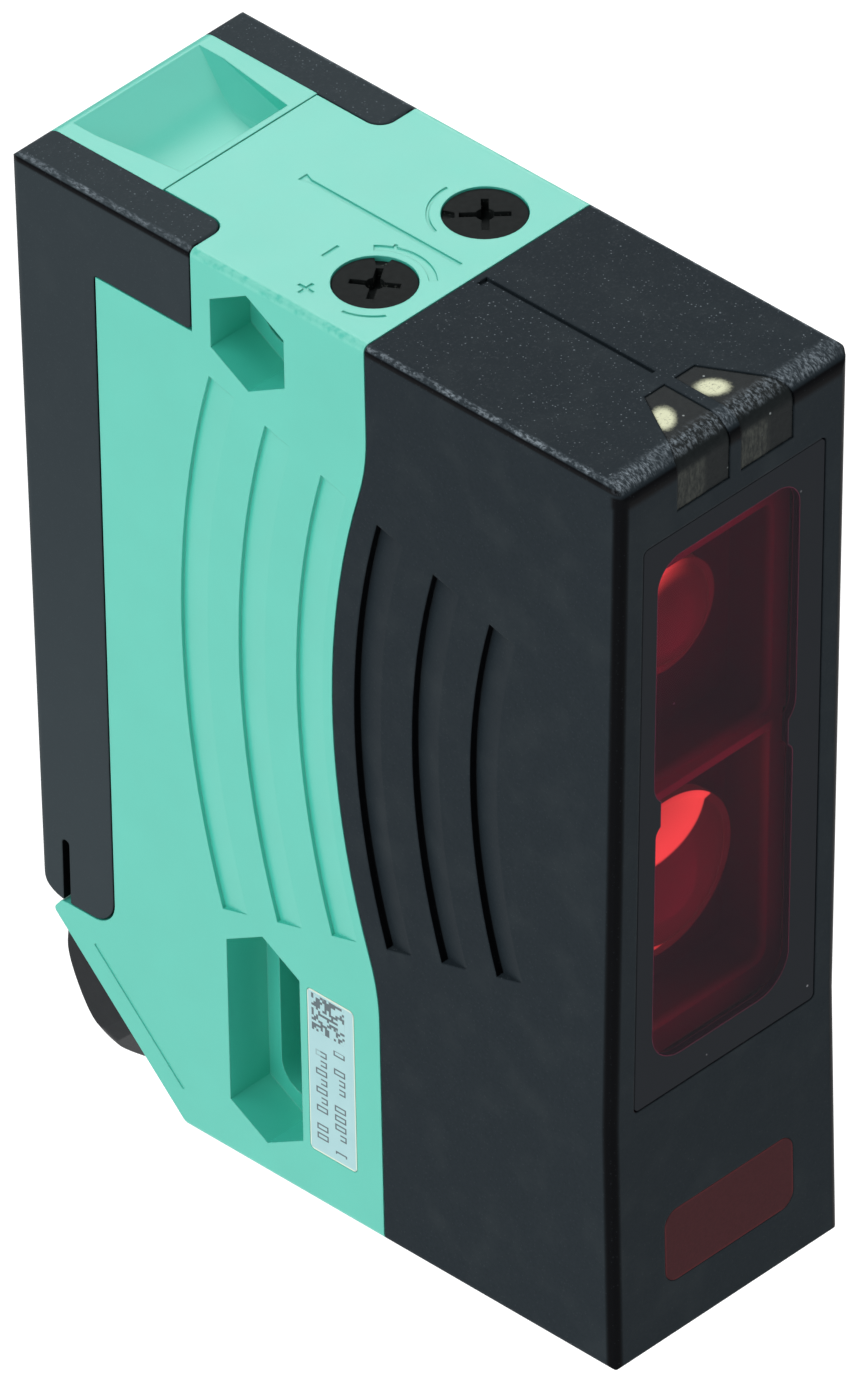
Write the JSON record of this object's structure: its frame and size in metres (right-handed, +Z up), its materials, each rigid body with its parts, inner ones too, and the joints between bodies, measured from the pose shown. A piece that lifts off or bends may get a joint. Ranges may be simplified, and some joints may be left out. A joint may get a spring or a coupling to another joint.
{
  "type": "photoelectric sensor",
  "caption": "Block photoelectric sensor with a red lens window in front, screwdriver adjusters on top, a hinged rear terminal cover and a cable gland on its sloping corner.",
  "frame": {"origin": "on the flat underside, in the middle of the housing's width", "axes": "+X across the width, +Y from the lens face towards the rear cover, +Z up along the tallest side"},
  "size_m": [0.0258, 0.0707, 0.0926],
  "materials": {
    "teal_plastic": "fine satin moulded",
    "black_plastic": "finely grained, slightly bluish",
    "gland_black": "satin moulded",
    "dial_black": "semi-gloss",
    "black_rubber": "matt",
    "red_window": "polished, tinted dark red, see-through",
    "clear_lens": "polished, clear",
    "smoky_guide": "polished, smoky, see-through",
    "led_body": "clear resin on a pale base",
    "chip_black": "matt",
    "board_green": "solder resist",
    "plated_steel": "zinc plated",
    "terminal_metal": "tinned",
    "terminal_grey": "satin",
    "relay_blue": "satin",
    "tape_yellow": "taped",
    "capacitor_sleeve": "shrunk sleeve",
    "label_pale": "pale blue-white film",
    "badge_red": "printed dark red"
  },
  "bodies": {
    "sensor_body": {"main_housing": "teal_plastic", "front_cover": "black_plastic", "housing_seal": "black_rubber", "lens_window": "red_window", "aperture_mask": "black_plastic", "optics_carrier": "black_plastic", "emitter_lens": "clear_lens", "receiver_lens": "clear_lens", "emitter_led": "led_body", "photodiode": "chip_black", "sensor_board": "board_green", "sensor_board_screws": "plated_steel", "main_board": "board_green", "relay": "relay_blue", "transformer": "tape_yellow", "capacitor": "capacitor_sleeve", "signal_chip": "chip_black", "adjuster_board": "board_green", "sensitivity_trimmer": "relay_blue", "mode_trimmer": "relay_blue", "adjuster_o_rings": "black_rubber", "indicator_board": "board_green", "indicator_leds": "led_body", "light_guide_left": "smoky_guide", "light_guide_right": "smoky_guide", "terminal_block": "terminal_grey", "terminal_cages": "terminal_metal", "terminal_screws": "plated_steel", "hinge_pin": "plated_steel", "gland_body": "gland_black", "gland_washer": "black_rubber", "gland_insert": "black_rubber", "type_label": "label_pale", "front_badge": "badge_red"},
    "cover": {"rear_cover": "black_plastic", "finger_grip": "teal_plastic", "cover_seal": "black_rubber"},
    "sensitivity_dial": {"sensitivity_adjuster": "dial_black"},
    "mode_dial": {"mode_adjuster": "dial_black"},
    "cable_nut": {"gland_nut": "gland_black"}
  },
  "joints": [
    {"name": "cover_hinge", "type": "hinge", "parent": "sensor_body", "child": "cover", "pos_m": [0, 0.0297, 0.0188], "axis": [-1, 0, 0], "range_deg": [0, 90]},
    {"name": "sensitivity_turn", "type": "hinge", "parent": "sensor_body", "child": "sensitivity_dial", "pos_m": [-0.0062, 0.00015, 0.086], "axis": [0, 0, 1], "range_deg": [-135, 135]},
    {"name": "mode_turn", "type": "hinge", "parent": "sensor_body", "child": "mode_dial", "pos_m": [0.0062, 0.00015, 0.086], "axis": [0, 0, 1], "range_deg": [-90, 90]},
    {"name": "gland_nut_turn", "type": "hinge", "parent": "sensor_body", "child": "cable_nut", "pos_m": [0, 0.02491, 0.00841], "axis": [0, 0.7071, -0.7071], "continuous": true}
  ]
}
